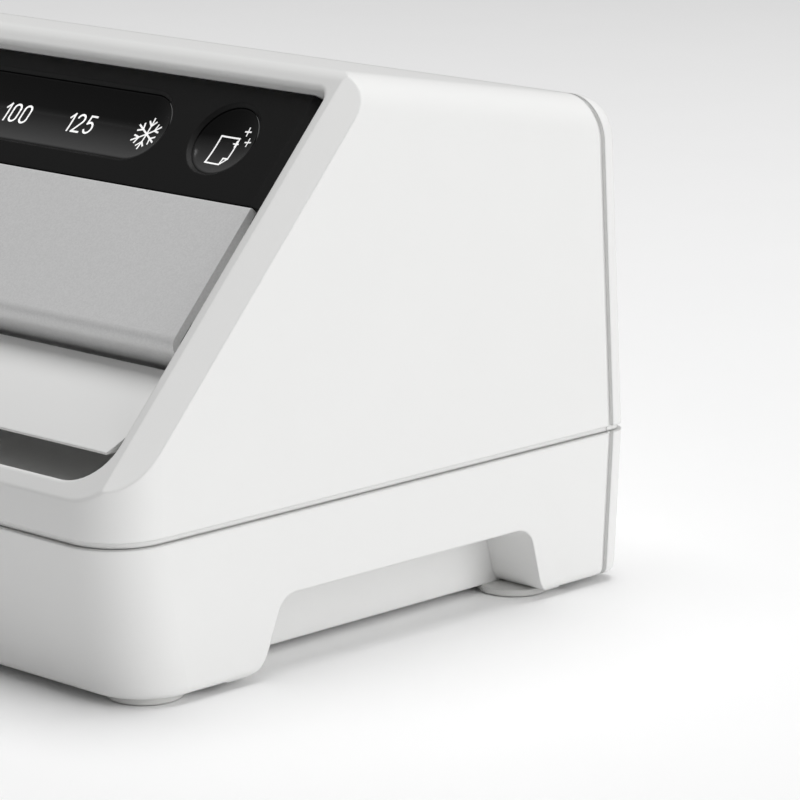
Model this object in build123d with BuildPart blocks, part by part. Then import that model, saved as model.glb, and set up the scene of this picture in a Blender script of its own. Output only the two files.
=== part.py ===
from build123d import *
import math
import os

os.makedirs("parts", exist_ok=True)

# ---------------------------------------------------------------------------
# Driving dimensions of the desktop pouch laminator, in millimetres.
# X runs to the right along the rollers, Y runs to the rear, Z is up.
# The origin is on the table, under the middle of the casing.
# ---------------------------------------------------------------------------
width = 516.0                 # casing, side to side
depth = 200.0                 # casing, front to rear, at the parting line
peak_height = 157.8           # sharp meeting of slanted front and roof
foot_height = 2.0             # rubber feet below the casing
parting_height = 44.0         # top edge of the lower casing
groove_height = 1.8           # visible parting groove
groove_depth = 1.2            # set-back of the wall inside a groove
seam_gap = 0.3                # open gap between two casing parts
wall = 2.6                    # casing wall
face_angle = 47.64            # slanted front, above horizontal
face_foot_height = 56.3       # slanted front leaves the upright front here
roof_angle = 10.05            # roof falls to the rear
rear_lean = 3.5               # rear faces lean in, above and below the parting line
front_lean = 12.0             # lower casing front leans in towards the table
front_corner = 17.0           # plan radius of the front corners
roof_corner = 12.0            # rounding between roof and sides
ridge_radius = 6.0            # rounding between roof and slanted front
rear_corner = 6.0             # rounding round the rear faces
base_edge = 2.5               # rounding round the underside
rear_cover_depth = 9.0        # rear covers, front to rear
bevel_width = 7.6             # bevel beside the slanted front
bevel_drop = 4.05

# Opening in the slanted front. Heights here run up the slant from its foot.
opening_side = 10.9           # from the casing's side to the opening
opening_low = 5.5
opening_high = 131.0
opening_low_corner = 13.0
opening_high_corner = 3.6
opening_rim = 1.4             # rounding of the opening's edge
skirt_wall = 2.2

# Control panel and hood, set in the opening
panel_recess = 3.8
panel_low = 94.7
panel_thickness = 8.0
panel_wall = 2.4
panel_end_bevel = 7.0
fit_gap = 0.3
window_height = 21.8
window_end = 64.5             # from the casing's side to the long window's end
window_middle = 113.5
button_inset = 41.3           # from the casing's side to a round window's middle
window_recess = 1.2
lens_thickness = 1.4
hood_inset = 17.4             # from the casing's side to the hood's edge
hood_thickness = 2.5
hood_fold = 49.4
hood_fold_radius = 3.5
hood_rib = 2.4
lip_inset = 49.0              # from the casing's front to the hood's lip
lip_above_nip = 1.9

# Feed tray, which pulls out to the front
tray_front_inset = 10.1       # from the casing's front to the tray's front edge
tray_front_rise = 11.1        # from the slanted front's foot to the tray's front edge
tray_front_slope = 33.0
tray_back_slope = 15.0
tray_run = 32.4
tray_thickness = 3.0
tray_edge = 0.6               # tray's front edge, thinned from below
tray_side_gap = 0.8
tray_travel = 45.0
runner_inset = 31.0           # from the casing's side to a runner's middle
runner_width = 7.0
runner_height = 5.0
runner_z = 69.0
guide_clearance = 0.3
guide_wall = 2.4
guide_front_inset = 46.0      # from the casing's front to the guides
guide_length = 60.0

# Rollers, drive and frame
nip_height = 77.6
roller_radius = 12.85
nip_gap = 0.3                 # between the two sleeves of a pair
sleeve_wall = 2.5
sleeve_length = 330.0
sleeve_end_gap = 6.0          # from a sleeve's end to the side frame
feed_roller_inset = 80.0      # from the casing's front to the hot pair
journal_radius = 4.0
running_gap = 0.05
frame_thickness = 2.0
frame_reach = 28.0            # side frames, past the outer rollers' axes
frame_over_slot = 3.4
roller_teeth = 26
idler_teeth = 28
pinion_teeth = 14
gear_width = 8.0
gear_stand_off = 11.0         # from the side frame to the gears
backlash = 0.12
block_size = 14.0             # sprung bearing block of an upper roller
spring_space = 13.0
spring_radius = 2.8
spring_wire = 0.6
throat_gap = 4.6              # between the upper and lower guide plates
guide_plate = 1.0

# Lifting grips in the lower casing
grip_depth = 18.4
grip_top = 22.2
grip_front = -39.5
grip_back = 57.6
grip_front_flare = 8.5
grip_back_flare = 5.3
grip_corner = 7.0
grip_front_toe = 9.0          # rounding between a grip's front end and the underside
grip_back_toe = 6.0

# Rear connections
exit_height = 7.0
exit_side_gap = 3.0           # exit slot, past the sleeves' ends
inlet_x = -206.0
switch_x = -166.0
connection_z = 24.0

front_y = -depth / 2
rear_y = depth / 2
half = width / 2
base_z = foot_height
upper_z = parting_height + groove_height
seam_y = rear_y - rear_cover_depth
floor_z = base_z + wall

lip_y = front_y + lip_inset
lip_z = nip_height + lip_above_nip
tray_front_y = front_y + tray_front_inset
tray_front_z = face_foot_height + tray_front_rise
runner_x = half - runner_inset
guide_front_y = front_y + guide_front_inset
runner_back_y = guide_front_y + guide_length

roller_spacing = 2 * roller_radius + nip_gap
gear_module = roller_spacing / roller_teeth
lower_z = nip_height - roller_spacing / 2
top_z = nip_height + roller_spacing / 2
feed_roller_y = front_y + feed_roller_inset
exit_roller_y = feed_roller_y + gear_module * (roller_teeth + idler_teeth)
frame_inside = sleeve_length / 2 + sleeve_end_gap
frame_front_y = feed_roller_y - frame_reach
frame_back_y = exit_roller_y + frame_reach
slot_top = top_z + block_size / 2 + spring_space
frame_top = slot_top + frame_over_slot
gear_x = frame_inside + frame_thickness + gear_stand_off
exit_width = sleeve_length + 2 * exit_side_gap


def rise(degrees):
    return math.tan(math.radians(degrees))


slant_y = math.cos(math.radians(face_angle))
slant_z = math.sin(math.radians(face_angle))
peak_y = front_y + (peak_height - face_foot_height) / rise(face_angle)
slant_length = (peak_height - face_foot_height) / slant_z


def on_slant(up, below=0.0):
    """Y and Z of a point so far up the slanted front, and so far under it."""
    y = front_y + up * slant_y + below * slant_z
    z = face_foot_height + up * slant_z - below * slant_y
    return y, z


def slant_plane(below=0.0, up=0.0):
    """Sketch plane along the slanted front: local x to the right, local y up the slant."""
    y, z = on_slant(up, below)
    return Plane(origin=(0, y, z), x_dir=(1, 0, 0), z_dir=(0, -slant_z, slant_y))


def yz_plane(x=0.0):
    """Sketch plane across the machine: local x to the rear, local y up."""
    return Plane(origin=(x, 0, 0), x_dir=(0, 1, 0), z_dir=(1, 0, 0))


rear_seam_upper = Plane(
    origin=(0, seam_y, parting_height),
    x_dir=(1, 0, 0),
    z_dir=(0, math.cos(math.radians(rear_lean)), math.sin(math.radians(rear_lean))),
)
rear_seam_lower = Plane(
    origin=(0, seam_y, parting_height),
    x_dir=(1, 0, 0),
    z_dir=(0, math.cos(math.radians(rear_lean)), -math.sin(math.radians(rear_lean))),
)
far = 2 * (width + depth)     # longer than the machine, for cuts that run right through


# ---------------------------------------------------------------------------
# Casing blocks: the outside shape, or the same shape moved inwards by an inset
# ---------------------------------------------------------------------------
def plan_sketch(z, front, back, inset):
    """Plan outline at one height, with rounded front corners."""
    with BuildSketch(Plane.XY.offset(z)) as plan:
        with Locations((0, (front + back) / 2)):
            Rectangle(width - 2 * inset, back - front)
        fillet(plan.vertices().group_by(Axis.Y)[0], front_corner - inset)
    return plan.sketch


def peak(inset):
    """Where the slanted front and the roof meet, both moved inwards by the inset."""
    foot_y, foot_z = on_slant(0, inset)
    roof_z = peak_height + peak_y * rise(roof_angle) - inset / math.cos(math.radians(roof_angle))
    y = (roof_z - foot_z + foot_y * rise(face_angle)) / (rise(face_angle) + rise(roof_angle))
    return y, roof_z - y * rise(roof_angle)


def upper_block(inset):
    low = parting_height - 8
    high = peak_height + 12
    top_y, top_z = peak(inset)
    foot_y, foot_z = on_slant(0, inset)
    foot_z += (front_y + inset - foot_y) * rise(face_angle)
    roof_plane = Plane(
        origin=(0, top_y, top_z),
        x_dir=(1, 0, 0),
        z_dir=(0, -math.cos(math.radians(roof_angle)), math.sin(math.radians(roof_angle))),
    )
    with BuildPart() as block:
        for z in (low, high):
            back = rear_y - (z - parting_height) * rise(rear_lean) - inset
            add(plan_sketch(z, front_y + inset, back, inset))
        loft()
        with BuildSketch(roof_plane) as roof:
            with Locations((0, -far / 2)):
                Rectangle(width - 2 * inset, far)
            fillet(roof.vertices().group_by(Axis.Y)[-1], roof_corner - inset)
        extrude(amount=far / 2, both=True, mode=Mode.INTERSECT)
        if inset < rear_corner:
            rear_edges = block.faces().sort_by(Axis.Y)[-1].edges().filter_by(
                lambda edge: edge.center().Z > low + 1
            )
            fillet(rear_edges, rear_corner - inset)
        with BuildSketch(yz_plane()) as side_view:
            Polygon(
                (front_y + inset, low),
                (front_y + inset, foot_z),
                (top_y, top_z),
                (rear_y, top_z - (rear_y - top_y) * rise(roof_angle)),
                (rear_y, low),
                align=None,
            )
            fillet(side_view.vertices().sort_by(Axis.X)[2], max(ridge_radius - inset, 1))
        extrude(amount=far / 2, both=True, mode=Mode.INTERSECT)
        bevel_slope = bevel_drop / bevel_width
        bevel_shift = inset * math.hypot(1, bevel_slope)
        wedge_plane = Plane(
            origin=(0, *on_slant(0)), x_dir=(1, 0, 0), z_dir=(0, slant_y, slant_z)
        )
        for side in (-1, 1):
            reach = 4 * bevel_width
            edge_x = half - bevel_width
            with BuildSketch(wedge_plane):
                Polygon(
                    (side * (edge_x - reach), bevel_shift - reach * bevel_slope),
                    (side * (edge_x + reach), bevel_shift + reach * bevel_slope),
                    (side * (edge_x + reach), bevel_shift - reach * bevel_slope),
                    align=None,
                )
            extrude(amount=far / 2, both=True, mode=Mode.SUBTRACT)
    return block.part


def lower_block(inset):
    with BuildPart() as block:
        for z in (base_z + inset, parting_height + 8):
            drop = parting_height - z
            front = front_y + max(drop, 0) * rise(front_lean) + inset
            back = rear_y - max(drop, 0) * rise(rear_lean) - inset
            if drop < 0:
                front = front_y + drop * rise(front_lean) + inset
                back = rear_y - drop * rise(rear_lean) - inset
            add(plan_sketch(z, front, back, inset))
        loft()
        upright = block.edges().filter_by(
            lambda edge: edge.center().Y > rear_y - 15 and abs(edge.center().X) > half - inset - 1
            and edge.bounding_box().size.Z > 20
        )
        fillet(upright, rear_corner - min(inset, rear_corner - 1))
        if inset < base_edge:
            fillet(block.faces().sort_by(Axis.Z)[0].edges(), base_edge - inset)
    return block.part


def slab(low, high):
    """Endless level slab between two heights."""
    with BuildPart() as level:
        with BuildSketch(Plane.XY.offset(low)):
            Rectangle(far, far)
        extrude(amount=high - low)
    return level.part


def layer(plane, low, high):
    """Endless slab along a plane, between two distances from it."""
    with BuildPart() as sheet:
        with BuildSketch(plane.offset(low)):
            Rectangle(far, far)
        extrude(amount=high - low)
    return sheet.part


def box(x, y, z):
    """Box from three pairs of limits."""
    with BuildPart() as block:
        with BuildSketch(Plane.XY.offset(z[0])):
            with Locations(((x[0] + x[1]) / 2, (y[0] + y[1]) / 2)):
                Rectangle(x[1] - x[0], y[1] - y[0])
        extrude(amount=z[1] - z[0])
    return block.part


def rod(x0, x1, y, z, radius, bore=0.0):
    """Round bar or tube along X."""
    with BuildPart() as bar:
        with BuildSketch(yz_plane(x0)):
            with Locations((y, z)):
                Circle(radius)
                if bore > 0:
                    Circle(bore, mode=Mode.SUBTRACT)
        extrude(amount=x1 - x0)
    return bar.part


# ---------------------------------------------------------------------------
# Casing: two shells split at the parting line, each with its own rear cover
# ---------------------------------------------------------------------------
post_x = half - wall - 3.2
post_front_inset = 38.0
post_behind_grip = 20.0
post_ys = (front_y + post_front_inset, grip_back + post_behind_grip)
post_places = [(side * post_x, y) for side in (-1, 1) for y in post_ys]
post_radius = 3.6
upper_post_height = 18.0
screw_radius = 1.45
screw_clearance = 0.25
screw_head = 1.2              # screw head, past its shank
screw_head_height = 2.2
screw_seat_z = 14.0
screw_grip = 14.0             # screw, into the upper casing

opening_half = half - opening_side


def opening_sketch(grow, up_shift=0.0):
    """Outline of the opening in the slanted front, grown by a clearance."""
    middle = (opening_low + opening_high) / 2
    with BuildSketch(Plane.XY) as outline:
        with Locations((0, middle + up_shift)):
            Rectangle(2 * (opening_half + grow), opening_high - opening_low + 2 * grow)
        fillet(outline.vertices().group_by(Axis.Y)[0], opening_low_corner + grow)
        fillet(outline.vertices().group_by(Axis.Y)[-1], opening_high_corner + grow)
    return outline.sketch


def slant_layer(shape, low, high):
    """A flat shape on the slanted front, thick from one depth below it to another."""
    with BuildPart() as plate:
        with BuildSketch(slant_plane(high)):
            add(shape)
        extrude(amount=high - low)
    return plate.part


ledge_low = 54.0
ledge_width = 12.0
ledge_thickness = 1.6
trough_wall = 1.6
trough_z = parting_height + 12
trough_top_z = trough_z + 10
trough_back_y = guide_front_y - 1.4
trough_reach = 60.0
skirt_depth = panel_recess + panel_thickness + ledge_thickness

with BuildPart() as parting_groove:
    add(slab(parting_height, upper_z))
    add(upper_block(groove_depth), mode=Mode.SUBTRACT)

# Trough behind the lower edge of the opening, where fingers reach under the tray
with BuildPart() as trough_outside:
    add(slant_layer(opening_sketch(skirt_wall), 1.0, trough_reach))
    add(
        box((-width, width), (2 * front_y, trough_back_y), (trough_z - trough_wall, trough_top_z)),
        mode=Mode.INTERSECT,
    )

with BuildPart() as trough_inside:
    add(slant_layer(opening_sketch(0), -3 * wall, trough_reach + 1))
    add(
        box(
            (-width, width),
            (2 * front_y, trough_back_y - trough_wall),
            (trough_z, parting_height + trough_reach),
        ),
        mode=Mode.INTERSECT,
    )

with BuildPart() as upper_shell:
    add(upper_block(0))
    add(upper_block(wall), mode=Mode.SUBTRACT)
    add(slab(parting_height - 60, parting_height + seam_gap), mode=Mode.SUBTRACT)
    add(parting_groove.part, mode=Mode.SUBTRACT)
    add(slant_layer(opening_sketch(skirt_wall), 1.0, skirt_depth))
    add(slant_layer(opening_sketch(0), -3 * wall, skirt_depth + 3 * wall), mode=Mode.SUBTRACT)
    add(trough_outside.part)
    add(trough_inside.part, mode=Mode.SUBTRACT)
    for side in (-1, 1):
        ledge_edge = side * (opening_half + skirt_wall / 2 - ledge_width / 2)
        with BuildSketch(slant_plane(skirt_depth)):
            with Locations((ledge_edge, (ledge_low + opening_high) / 2)):
                Rectangle(ledge_width + skirt_wall, opening_high - ledge_low)
        extrude(amount=ledge_thickness - fit_gap)
    for x, y in post_places:
        with BuildSketch(Plane.XY.offset(parting_height + seam_gap)):
            with Locations((x, y)):
                Circle(post_radius)
                Circle(screw_radius + running_gap, mode=Mode.SUBTRACT)
        extrude(amount=upper_post_height)



def on_opening_rim(edge):
    """Whether an edge lies in the slanted front and along the opening."""
    for t in (0, 0.5, 1):
        point = edge.position_at(t)
        away = (point.Y - front_y) * slant_z - (point.Z - face_foot_height) * slant_y
        up = (point.Y - front_y) * slant_y + (point.Z - face_foot_height) * slant_z
        inside = abs(point.X) < opening_half + fit_gap and up < opening_high + fit_gap
        if abs(away) > 0.02 or not inside:
            return False
    return True


with BuildPart() as upper_casing:
    add(upper_shell.part)
    split(bisect_by=rear_seam_upper, keep=Keep.BOTTOM)
    fillet(upper_casing.edges().filter_by(on_opening_rim), opening_rim)

with BuildPart() as upper_rear_groove:
    add(layer(rear_seam_upper, 0, groove_height))
    add(upper_block(groove_depth), mode=Mode.SUBTRACT)

with BuildPart() as rear_cover_upper:
    add(upper_shell.part)
    split(bisect_by=rear_seam_upper.offset(seam_gap), keep=Keep.TOP)
    add(upper_rear_groove.part, mode=Mode.SUBTRACT)
    add(
        box(
            (-exit_width / 2, exit_width / 2),
            (seam_y - 20, rear_y + 20),
            (nip_height - exit_height / 2, nip_height + exit_height / 2),
        ),
        mode=Mode.SUBTRACT,
    )

grip_low = base_z - 10


def grip_sketch(grow):
    """Side view of a lifting grip, grown by a wall."""
    toe_z = base_z - 0.2
    front_toe = (grip_front - grip_front_flare, toe_z)
    back_toe = (grip_back + grip_back_flare, toe_z)
    with BuildSketch(Plane.XY) as outline:
        Polygon(
            (grip_front, grip_top),
            (grip_back, grip_top),
            back_toe,
            (back_toe[0] + grip_back_toe, toe_z),
            (back_toe[0] + grip_back_toe, grip_low),
            (front_toe[0] - grip_front_toe, grip_low),
            (front_toe[0] - grip_front_toe, toe_z),
            front_toe,
            align=None,
        )
        fillet(outline.vertices().group_by(Axis.Y)[-1], grip_corner)
        fillet(outline.vertices().sort_by_distance((*front_toe, 0))[0], grip_front_toe)
        fillet(outline.vertices().sort_by_distance((*back_toe, 0))[0], grip_back_toe)
        if grow > 0:
            offset(amount=grow)
    return outline.sketch


inner_grip = half - grip_depth

with BuildPart() as lower_shell:
    add(lower_block(0))
    add(lower_block(wall), mode=Mode.SUBTRACT)
    for side in (-1, 1):
        with BuildSketch(yz_plane(side * (inner_grip - wall))):
            add(grip_sketch(wall))
        extrude(amount=side * (grip_depth + wall / 2))
    for x, y in post_places:
        with BuildSketch(Plane.XY.offset(base_z)):
            with Locations((x, y)):
                Circle(post_radius)
        extrude(amount=parting_height - base_z)
    add(slab(parting_height, 3 * parting_height), mode=Mode.SUBTRACT)
    add(slab(-3 * parting_height, base_z), mode=Mode.SUBTRACT)
    for side in (-1, 1):
        with BuildSketch(yz_plane(side * inner_grip)):
            add(grip_sketch(0))
        extrude(amount=side * 3 * grip_depth, mode=Mode.SUBTRACT)
    for x, y in post_places:
        with BuildSketch(Plane.XY.offset(base_z)):
            with Locations((x, y)):
                Circle(screw_radius + screw_clearance)
        extrude(amount=parting_height, mode=Mode.SUBTRACT)
        with BuildSketch(Plane.XY.offset(base_z)):
            with Locations((x, y)):
                Circle(screw_radius + screw_head + running_gap)
        extrude(amount=screw_seat_z - base_z, mode=Mode.SUBTRACT)

with BuildPart() as lower_casing:
    add(lower_shell.part)
    split(bisect_by=rear_seam_lower, keep=Keep.BOTTOM)

with BuildPart() as lower_rear_groove:
    add(layer(rear_seam_lower, 0, groove_height))
    add(lower_block(groove_depth), mode=Mode.SUBTRACT)

inlet_width = 24.0
inlet_height = 16.0
switch_width = 14.0
switch_height = 20.0

with BuildPart() as rear_cover_lower:
    add(lower_shell.part)
    split(bisect_by=rear_seam_lower.offset(seam_gap), keep=Keep.TOP)
    add(lower_rear_groove.part, mode=Mode.SUBTRACT)
    for x, span, height in (
        (inlet_x, inlet_width, inlet_height),
        (switch_x, switch_width, switch_height),
    ):
        add(
            box(
                (x - span / 2, x + span / 2),
                (seam_y - 20, rear_y + 20),
                (connection_z - height / 2, connection_z + height / 2),
            ),
            mode=Mode.SUBTRACT,
        )

# ---------------------------------------------------------------------------
# Control panel, its windows and the hood below it
# ---------------------------------------------------------------------------
panel_half = opening_half - fit_gap
panel_high = opening_high - fit_gap
panel_middle = (panel_low + panel_high) / 2
window_half = half - window_end
button_x = half - button_inset
button_radius = window_height / 2
hole_chamfer = window_recess - 0.2

with BuildPart() as control_panel:
    with BuildSketch(slant_plane(panel_recess + panel_thickness)) as panel_outline:
        with Locations((0, panel_middle)):
            Rectangle(2 * panel_half, panel_high - panel_low)
        fillet(panel_outline.vertices().group_by(Axis.Y)[-1], opening_high_corner - fit_gap)
    extrude(amount=panel_thickness)
    with BuildSketch(slant_plane(panel_recess + panel_thickness)):
        with Locations((0, panel_middle)):
            Rectangle(
                2 * (panel_half - panel_end_bevel - panel_wall),
                panel_high - panel_low - 2 * panel_wall,
            )
    extrude(amount=panel_thickness - window_recess - lens_thickness, mode=Mode.SUBTRACT)
    end_plane = Plane(
        origin=(0, *on_slant(0, panel_recess)), x_dir=(1, 0, 0), z_dir=(0, slant_y, slant_z)
    )
    for side in (-1, 1):
        with BuildSketch(end_plane):
            Polygon(
                (side * (panel_half - panel_end_bevel), 0),
                (side * (panel_half + panel_end_bevel), 0),
                (side * (panel_half + panel_end_bevel), panel_thickness - 1.5),
                (side * panel_half, panel_thickness - 3.0),
                align=None,
            )
        extrude(amount=far / 2, mode=Mode.SUBTRACT)
    window_cut = slant_plane(panel_recess + panel_thickness)
    with BuildSketch(window_cut):
        with Locations((0, window_middle)):
            SlotOverall(2 * window_half, window_height)
        with Locations((-button_x, window_middle), (button_x, window_middle)):
            Circle(button_radius)
    extrude(amount=panel_thickness * 2, mode=Mode.SUBTRACT)
    rims = control_panel.faces().filter_by(
        lambda face: abs(face.normal_at().dot(slant_plane().z_dir) - 1) < 0.001
    ).sort_by(SortBy.AREA)[-1].inner_wires()
    chamfer(rims.edges(), hole_chamfer)

lens_below = panel_recess + window_recess


def lens(shape_sketch):
    """Gloss window, seated in its hole in the panel, with a lip behind the hole's edge."""
    with BuildPart() as window:
        with BuildSketch(slant_plane(lens_below + lens_thickness)):
            add(shape_sketch)
        extrude(amount=lens_thickness)
    return window.part


with BuildSketch(Plane.XY) as long_window:
    with Locations((0, window_middle)):
        SlotOverall(2 * (window_half - 0.05), window_height - 0.1)

with BuildSketch(Plane.XY) as round_window_right:
    with Locations((button_x, window_middle)):
        Circle(button_radius - 0.05)

with BuildSketch(Plane.XY) as round_window_left:
    with Locations((-button_x, window_middle)):
        Circle(button_radius - 0.05)

with BuildPart() as display_window:
    add(lens(long_window.sketch))

with BuildPart() as mode_button_window:
    add(lens(round_window_right.sketch))

with BuildPart() as standby_button_window:
    add(lens(round_window_left.sketch))

touch_board_thickness = 1.2
touch_board_gap = 1.0
board_below = lens_below + lens_thickness + 0.2
board_half = panel_half - panel_end_bevel - panel_wall - 2 * touch_board_gap
board_run = panel_high - panel_low - 2 * (panel_wall + touch_board_gap)
with BuildPart() as touch_board:
    with BuildSketch(slant_plane(board_below + touch_board_thickness)):
        with Locations((0, panel_middle)):
            Rectangle(2 * board_half, board_run)
    extrude(amount=touch_board_thickness)

hood_half = half - hood_inset
hood_top = on_slant(panel_low - fit_gap, panel_recess)
fold_point = on_slant(hood_fold, panel_recess)
lip_point = (lip_y, lip_z)
lip_turn = math.atan2(fold_point[1] - lip_z, lip_y - fold_point[0])
lip_inside = (
    lip_y + hood_thickness * math.sin(lip_turn),
    lip_z + hood_thickness * math.cos(lip_turn),
)
inner_top = on_slant(panel_low - fit_gap, panel_recess + hood_thickness)
inner_slope = math.radians(face_angle)
fold_half = (math.pi - inner_slope - lip_turn) / 2
fold_back = hood_thickness / math.tan(fold_half)
inner_fold = on_slant(hood_fold + fold_back, panel_recess + hood_thickness)

with BuildPart() as hood_plate:
    with BuildSketch(yz_plane(-hood_half)) as hood_side:
        Polygon(hood_top, fold_point, lip_point, lip_inside, inner_fold, inner_top, align=None)
        outer = hood_side.vertices().sort_by_distance((*fold_point, 0))[0]
        fillet(outer, hood_fold_radius)
        inner = hood_side.vertices().sort_by_distance((*inner_fold, 0))[0]
        fillet(inner, hood_fold_radius - hood_thickness)
    extrude(amount=2 * hood_half)
    rib_low = hood_fold + 10
    rib_high = panel_low - 4
    for side in (-1, 1):
        with BuildSketch(slant_plane(panel_recess + panel_thickness)):
            with Locations((side * (hood_half - hood_rib / 2), (rib_low + rib_high) / 2)):
                Rectangle(hood_rib, rib_high - rib_low)
        extrude(amount=panel_thickness - 0.5)
    fillet(hood_plate.edges().filter_by(Axis.X).sort_by(Axis.Z)[-1], 0.6)

# ---------------------------------------------------------------------------
# Feed tray with two runners, and the guides that carry it
# ---------------------------------------------------------------------------
tray_half = opening_half - tray_side_gap
front_tilt = math.radians(tray_front_slope)
back_tilt = math.radians(tray_back_slope)
tray_radius = tray_run / (math.sin(front_tilt) - math.sin(back_tilt))
tray_centre = (
    tray_front_y + tray_radius * math.sin(front_tilt),
    tray_front_z - tray_radius * math.cos(front_tilt),
)


def tray_point(tilt, below):
    """Point on the tray's arc, where it slopes so much, and so far under its top."""
    r = tray_radius - below
    return tray_centre[0] - r * math.sin(tilt), tray_centre[1] + r * math.cos(tilt)


mid_tilt = (front_tilt + back_tilt) / 2
edge_point = tray_point(front_tilt, tray_edge)
thin_tilt = math.acos((edge_point[1] - tray_centre[1]) / (tray_radius - tray_thickness))
nose_y = tray_point(back_tilt, tray_thickness / 2)[0] + tray_thickness / 2 * math.cos(back_tilt)
nose_z = tray_point(back_tilt, tray_thickness / 2)[1] + tray_thickness / 2 * math.sin(back_tilt)

with BuildPart() as feed_tray:
    with BuildSketch(yz_plane(-tray_half)) as tray_side:
        with BuildLine():
            ThreePointArc(
                tray_point(front_tilt, 0), tray_point(mid_tilt, 0), tray_point(back_tilt, 0)
            )
            ThreePointArc(
                tray_point(back_tilt, 0), (nose_y, nose_z), tray_point(back_tilt, tray_thickness)
            )
            ThreePointArc(
                tray_point(back_tilt, tray_thickness),
                tray_point(mid_tilt, tray_thickness),
                tray_point(thin_tilt, tray_thickness),
            )
            Line(tray_point(thin_tilt, tray_thickness), edge_point)
            Line(edge_point, tray_point(front_tilt, 0))
        make_face()
    extrude(amount=2 * tray_half)
    # The tray's outline is the opening's, seen along the way it slides
    with BuildSketch(Plane(origin=(0, 0, 0), x_dir=(1, 0, 0), z_dir=(0, -1, 0))) as way_out:
        with Locations((0, face_foot_height + slant_z * (opening_low + opening_high) / 2)):
            Rectangle(2 * tray_half, slant_z * (opening_high - opening_low) - 2 * tray_side_gap)
        fillet(way_out.vertices().group_by(Axis.Y)[0], opening_low_corner - tray_side_gap)
    extrude(amount=far / 2, both=True, mode=Mode.INTERSECT)
    for side in (-1, 1):
        low_point = (tray_front_y + 14, runner_z)
        with BuildSketch(yz_plane(side * runner_x - runner_width / 2)):
            Polygon(
                low_point,
                (runner_back_y, runner_z),
                (runner_back_y, runner_z + runner_height),
                (tray_point(back_tilt, 1)[0] + 5, runner_z + runner_height),
                tray_point(back_tilt, tray_thickness - 0.5),
                tray_point(mid_tilt, tray_thickness - 0.5),
                align=None,
            )
        extrude(amount=runner_width)

with BuildPart() as tray_guides:
    for side in (-1, 1):
        inside = runner_width / 2 + guide_clearance
        low = runner_z - guide_clearance
        with BuildSketch(Plane(origin=(side * runner_x, guide_front_y, 0), x_dir=(-1, 0, 0),
                               z_dir=(0, 1, 0))):
            with Locations((0, (low - guide_wall + runner_z + runner_height) / 2)):
                Rectangle(2 * (inside + guide_wall), runner_height + guide_wall + guide_clearance)
            with Locations((0, (low + runner_z + runner_height + 5) / 2)):
                Rectangle(2 * inside, runner_height + 5 + guide_clearance, mode=Mode.SUBTRACT)
        extrude(amount=runner_back_y + 2 - guide_front_y)
        for y in (guide_front_y + 4, guide_front_y + 24):
            with BuildSketch(Plane.XY.offset(floor_z)):
                with Locations((side * runner_x, y)):
                    Circle(3.5)
            extrude(amount=low - guide_wall / 2 - floor_z)

# ---------------------------------------------------------------------------
# Rollers: a hot pair and an exit pair, each a steel core in a silicone sleeve
# ---------------------------------------------------------------------------
core_radius = roller_radius - sleeve_wall
core_half = sleeve_length / 2 + 2
journal_left = frame_inside + frame_thickness + 7
journal_right = gear_x + gear_width + 1.5
gear_bore = journal_radius
gear_right = gear_x + gear_width


def roller_core(y, z):
    with BuildPart() as core:
        add(rod(-core_half, core_half, y, z, core_radius))
        add(rod(-journal_left, journal_right, y, z, journal_radius))
    return core.part


def roller_sleeve(y, z):
    with BuildPart() as sleeve:
        add(rod(-sleeve_length / 2, sleeve_length / 2, y, z, roller_radius, core_radius))
        fillet(sleeve.edges().filter_by(GeomType.CIRCLE).group_by(SortBy.RADIUS)[-1], 0.8)
    return sleeve.part


def tooth_outline(teeth):
    """Points of one tooth of an involute gear, from root to root about local +X."""
    pitch = gear_module * teeth / 2
    base = pitch * math.cos(math.radians(20))
    root = pitch - 1.25 * gear_module
    tip = pitch + 0.95 * gear_module

    def involute(r):
        """Angle by which the flank has rolled in at one radius."""
        if r <= base:
            return 0.0
        turn = math.acos(base / r)
        return math.tan(turn) - turn

    half_angle = math.pi / (2 * teeth) - backlash / pitch
    start = max(base, root)
    steps = 5
    flank = []
    for i in range(steps + 1):
        r = start + (tip - start) * i / steps
        flank.append((r, half_angle + involute(pitch) - involute(r)))
    if root < base:
        flank.insert(0, (root, flank[0][1]))
    return flank, root


def spur_gear(y, z, teeth, phase, bore, hub_radius=0.0):
    """Gear on an axis along X, with one tooth's middle at the phase angle."""
    flank, root = tooth_outline(teeth)
    points = []
    for k in range(teeth):
        middle = math.radians(phase) + 2 * math.pi * k / teeth
        for r, a in flank:
            points.append((r * math.cos(middle - a), r * math.sin(middle - a)))
        for r, a in reversed(flank):
            points.append((r * math.cos(middle + a), r * math.sin(middle + a)))
    with BuildPart() as gear:
        with BuildSketch(yz_plane(gear_x)):
            with Locations((y, z)):
                Polygon(*points, align=None)
                Circle(bore, mode=Mode.SUBTRACT)
        extrude(amount=gear_width)
        if hub_radius > 0:
            add(rod(gear_x - 2, gear_x, y, z, hub_radius, bore))
    return gear.part


def mating_phase(phase, direction, teeth, mate_teeth):
    """Phase of a gear that meshes with another, which lies in the direction away from it."""
    rolled = (phase - direction) * teeth / mate_teeth
    return direction + 180 + 180 / mate_teeth - rolled


idler_y = (feed_roller_y + exit_roller_y) / 2
pinion_z = lower_z - gear_module * (idler_teeth + pinion_teeth) / 2
feed_lower_phase = 0.0
feed_upper_phase = mating_phase(feed_lower_phase, 90, roller_teeth, roller_teeth)
idler_phase = mating_phase(feed_lower_phase, 0, roller_teeth, idler_teeth)
exit_lower_phase = mating_phase(idler_phase, 0, idler_teeth, roller_teeth)
exit_upper_phase = mating_phase(exit_lower_phase, 90, roller_teeth, roller_teeth)
pinion_phase = mating_phase(idler_phase, -90, idler_teeth, pinion_teeth)

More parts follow.
